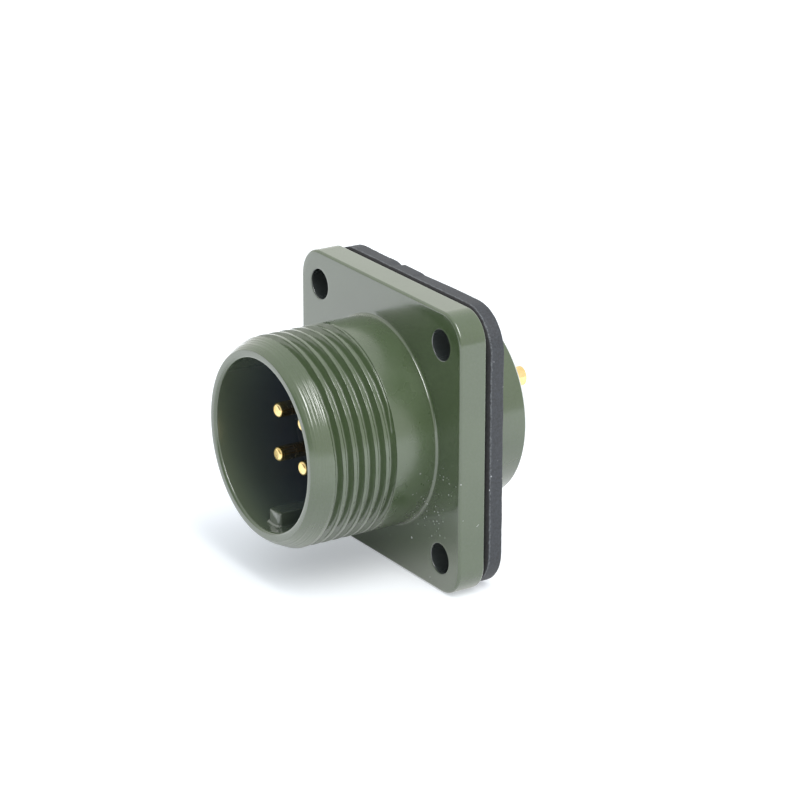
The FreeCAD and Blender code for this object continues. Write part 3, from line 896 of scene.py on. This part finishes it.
# Polarising key
def key_section(inset):
    """The key's outline as a loop of (x, z), drawn in by an inset at its rounded front."""
    half = KEY_HALF - inset
    top = -(KEY_TOP + KEY_TOP_SHARE * inset)
    flare = KEY_HALF + KEY_FLARE
    wall = -math.sqrt(SOCKET_RADIUS ** 2 - KEY_HALF ** 2)
    left = [(-flare, -(SOCKET_RADIUS + KEY_SUNK), 0), (-flare, wall - KEY_FLARE_DEPTH, KEY_FLARE_EDGE),
            (-half, wall + KEY_FILLET_TOP, KEY_FILLET), (-half, top, KEY_EDGE)]
    right = [(-x, z, radius) for x, z, radius in reversed(left)]
    return softened(left + right, 4)


def build_key():
    """The polarising key on the floor of the socket, its foot flared into the bore."""
    skin = Skin()
    angles = np.radians(np.linspace(0, 90, 8))
    places = [(KEY_FRONT + KEY_ROUND * (1 - math.cos(angle)), KEY_ROUND * (1 - math.sin(angle)))
              for angle in angles]
    places.append((KEY_REAR, 0.0))
    skin.rings([lifted(key_section(inset), place) for place, inset in places])
    for place, inset in (places[0], places[-1]):
        skin.fill([key_section(inset)], place)

    arch = np.linspace(-1, 1, KEY_FOOT_COLUMNS)
    foot = []
    for step in range(KEY_FOOT_ROWS + 1):
        share = step / KEY_FOOT_ROWS
        angle = share * math.pi / 2
        place = KEY_FRONT + KEY_FOOT_OVERLAP - KEY_FOOT * (1 - math.sin(angle))
        level = -(SOCKET_RADIUS - KEY_FOOT * (1 - math.cos(angle)))
        half = KEY_HALF + KEY_FOOT_FLARE * (1 - 2 * share)
        bore = -np.sqrt(SOCKET_RADIUS ** 2 - (half * arch) ** 2) - KEY_FOOT_OVERLAP
        tops = np.maximum(bore, level + KEY_FOOT_HOLLOW * arch ** 2)
        foot.append(np.stack([half * arch, np.full(len(arch), place), tops], -1))
    skin.rings(foot, closed=False)
    piece = skin.build("socket_key", PAINT, sharp=50)
    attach(piece, "root")


# Gasket
def waves(x, place, z, across, along):
    """Smooth noise at a point, with so many waves a mm across the mating axis and along it."""
    return noise.noise(Vector((x * across, place * along, z * across)))


def gasket_pull(x, place, z):
    """How far the gasket's cut edge is drawn in at a point, for its raggedness and the tears in its top."""
    share = (place - FLANGE_REAR) / (PANEL - FLANGE_REAR)
    ragged = 0.5 + waves(x, place, z, *SLOW_WAVES) + 0.5 * waves(x, place, z, *QUICK_WAVES)
    pull = (FRONT_PULL + (REAR_PULL - FRONT_PULL) * share) * max(0.0, ragged)
    if z > TEAR_SIDE and TEAR_PLACES[0] < x < TEAR_PLACES[-1]:
        pull = TEAR_PULL_SHARE * pull + share * np.interp(x, TEAR_PLACES, TEAR_DEPTHS)
    return pull


def gasket_loop(inset):
    return square_loop(GASKET_HALF, GASKET_CORNER, inset, GASKET_CORNER_STEPS, GASKET_SIDE_STEPS)


def build_gasket():
    """The sheet gasket: a soft front edge, and cut edges that are slightly ragged."""
    edge = softened([
        (FLANGE_REAR, GASKET_INSET, 0), (FLANGE_REAR, 0, GASKET_FRONT_EDGE),
        (PANEL, 0, GASKET_REAR_EDGE), (PANEL, GASKET_INSET, 0)], 5)
    rows = [edge[0]]
    for before, after in zip(edge, edge[1:]):
        parts = max(1, int(round(np.linalg.norm(after - before) / GASKET_ROW)))
        rows += [before + (after - before) * part / parts for part in range(1, parts + 1)]
    rings = []
    for place, inset in rows:
        loop = gasket_loop(inset)
        if inset < GASKET_INSET - 0.1:
            for index, (x, z) in enumerate(loop):
                loop[index] *= 1 - gasket_pull(x, place, z) / math.hypot(x, z)
        rings.append(lifted(loop, place))
    skin = Skin()
    skin.rings(rings)

    openings = [(0, 0, GASKET_BORE, BORE_COLUMNS)]
    openings += [(across, up, GASKET_HOLE, HOLE_COLUMNS) for across, up in HOLES]
    for across, up, radius, count in openings:
        wall = softened([
            (FLANGE_REAR, radius + GASKET_LIP, 0), (FLANGE_REAR, radius, GASKET_HOLE_EDGE),
            (PANEL, radius, GASKET_HOLE_EDGE), (PANEL, radius + GASKET_LIP, 0)])
        skin.rings([lifted(circle_loop(size, across, up, count), place) for place, size in wall])
    for place in (FLANGE_REAR, PANEL):
        skin.fill([gasket_loop(GASKET_INSET)] + [circle_loop(radius + GASKET_LIP, across, up, count)
                                                 for across, up, radius, count in openings], place)
    piece = skin.build("gasket_sheet", RUBBER)
    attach(piece, "root")
    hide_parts("flange_gasket")


build_shell()
build_key()
build_gasket()

CAD_MATERIALS = {"front_insert": INSULATOR, "rear_insert": INSULATOR, "insert_retaining_ring": STEEL}
for name, node in frame["nodes"].items():
    chosen = GOLD if name.startswith("contact_pin") else CAD_MATERIALS.get(name)
    if chosen:
        node.data.materials.clear()
        node.data.materials.append(chosen)


# Stage, lights and camera
def build_floor():
    """A pale floor that the camera sees as white with the object's shadow and a painted shadow under the
    barrel, and that reflections see darker, with a painted shade near the object.
    """
    r = Recipe("floor")
    r.set("Base Color", r.blend(r.grain(40.0), grey(FLOOR_DARK), grey(FLOOR_LIGHT)))
    r.set("Roughness", 0.9)
    r.set("Specular IOR Level", 0.1)
    ray = r.node("ShaderNodeLightPath").outputs
    r.set("Emission Color", r.blend(ray["Is Camera Ray"], WARM_WHITE, COOL_WHITE))
    direct = r.spread(r.away((0, 0, 0)), *OPEN_FLOOR, smooth=True)
    # A painted shadow: less glow for the camera under the barrel
    painted_shadow = r.spread(r.away(PAINTED_SHADOW_CENTRE), *PAINTED_SHADOW_DIP, smooth=True)
    # Painted shade in reflections: the glow that glossy rays see is dimmed near the object
    under = r.away(REFLECTED_SHADE_CENTRE)
    mirrored = r.maths("ADD", r.spread(under, *MIRRORED_NEAR, smooth=True),
                       r.spread(under, *MIRRORED_FAR, smooth=True))
    r.set("Emission Strength", r.strongest([
        r.both(ray["Is Camera Ray"], r.maths("SUBTRACT", direct, painted_shadow)),
        r.both(ray["Is Glossy Ray"], mirrored)]))
    mesh = bpy.data.meshes.new("floor")
    corners = [(across * FLOOR_HALF, along * FLOOR_HALF, FLOOR)
               for across, along in ((-1, -1), (1, -1), (1, 1), (-1, 1))]
    mesh.from_pydata(corners, [], [(0, 1, 2, 3)])
    mesh.materials.append(r.material)
    floor = bpy.data.objects.new("floor", mesh)
    bpy.context.scene.collection.objects.link(floor)


def build_world():
    """A white surround for the camera and reflections.

    Its light on the object is a cool fill that is strongest from above. Reflections find it darker in front.
    """
    world = bpy.data.worlds.new("studio")
    world.use_nodes = True
    sky = Nodes(world.node_tree)
    ray = sky.node("ShaderNodeLightPath").outputs
    split = sky.node("ShaderNodeSeparateXYZ")
    sky.link(sky.node("ShaderNodeTexCoord").outputs["Generated"], split.inputs[0])
    axes = split.outputs

    low_fill, high_fill = [tuple(level * share for share in FILL_TINT) + (1,) for level in (FILL, SKY)]
    colour = sky.blend(sky.spread(axes["Z"], 0.0, 1.0, smooth=True), low_fill, high_fill)
    front = sky.spread(axes["Y"], *FRONT_EDGE, smooth=True)
    around = sky.blend(sky.spread(axes["Z"], *TOP_EDGE, smooth=True), WARM_WHITE, grey(TOP_LEVEL))
    reflected = sky.blend(front, grey(FRONT_LEVEL), around)
    surrounds = (("Is Glossy Ray", reflected), ("Is Transmission Ray", WHITE), ("Is Camera Ray", WHITE))
    for kind, seen in surrounds:
        colour = sky.blend(ray[kind], colour, seen)
    sky.link(colour, world.node_tree.nodes["Background"].inputs["Color"])
    bpy.context.scene.world = world


def build_softbox():
    """A lamp that fades towards its edges, made of nested panels of the same brightness."""
    for number, share in enumerate(LAMP_LAYERS):
        lamp = bpy.data.lights.new(f"key_softbox_{number}", "AREA")
        lamp.shape = "RECTANGLE"
        lamp.size = LAMP_WIDTH * share
        lamp.size_y = LAMP_HEIGHT * share
        lamp.energy = LAMP_POWER * share ** 2 / sum(part ** 2 for part in LAMP_LAYERS)
        holder = bpy.data.objects.new(lamp.name, lamp)
        distance = LAMP_DISTANCE - LAMP_LAYER_GAP * (len(LAMP_LAYERS) - number)
        place = Vector(LAMP_DIRECTION).normalized() * distance
        holder.location = place
        holder.rotation_euler = (-place).to_track_quat("-Z", "Y").to_euler()
        bpy.context.scene.collection.objects.link(holder)


def build_camera():
    """A pinhole camera that sees the middle of the flange's front at one pixel of the photograph."""
    target = Vector((0, FLANGE_FRONT, 0)) * MM
    back = Vector((math.sin(AZIMUTH) * math.cos(ELEVATION), -math.cos(AZIMUTH) * math.cos(ELEVATION),
                   math.sin(ELEVATION)))
    right = Vector((math.cos(AZIMUTH), math.sin(AZIMUTH), 0))
    up = back.cross(right)
    turned = Matrix.Rotation(-ROLL, 3, "Z") @ Matrix((right, up, back))
    across, down = [(pixel - PHOTO_SIDE_PIXELS / 2) / FOCAL_PIXELS for pixel in AIM_PIXEL]
    aim = Vector((across, -down, -1)).normalized()
    onto = Vector((0, 0, -1)).rotation_difference(aim).to_matrix()
    from_camera = (onto @ turned).transposed()
    data = bpy.data.cameras.new("camera")
    data.sensor_width = SENSOR_WIDTH
    data.lens = FOCAL_PIXELS / PHOTO_SIDE_PIXELS * SENSOR_WIDTH
    data.clip_start = CLIP_START
    data.dof.use_dof = False
    camera = bpy.data.objects.new("camera", data)
    place = target - from_camera @ (aim * CAMERA_DISTANCE * MM)
    camera.matrix_world = Matrix.Translation(place) @ from_camera.to_4x4()
    bpy.context.scene.collection.objects.link(camera)
    bpy.context.scene.camera = camera


build_floor()
build_world()
build_softbox()
build_camera()

scene = bpy.context.scene
scene.view_settings.view_transform = "Standard"
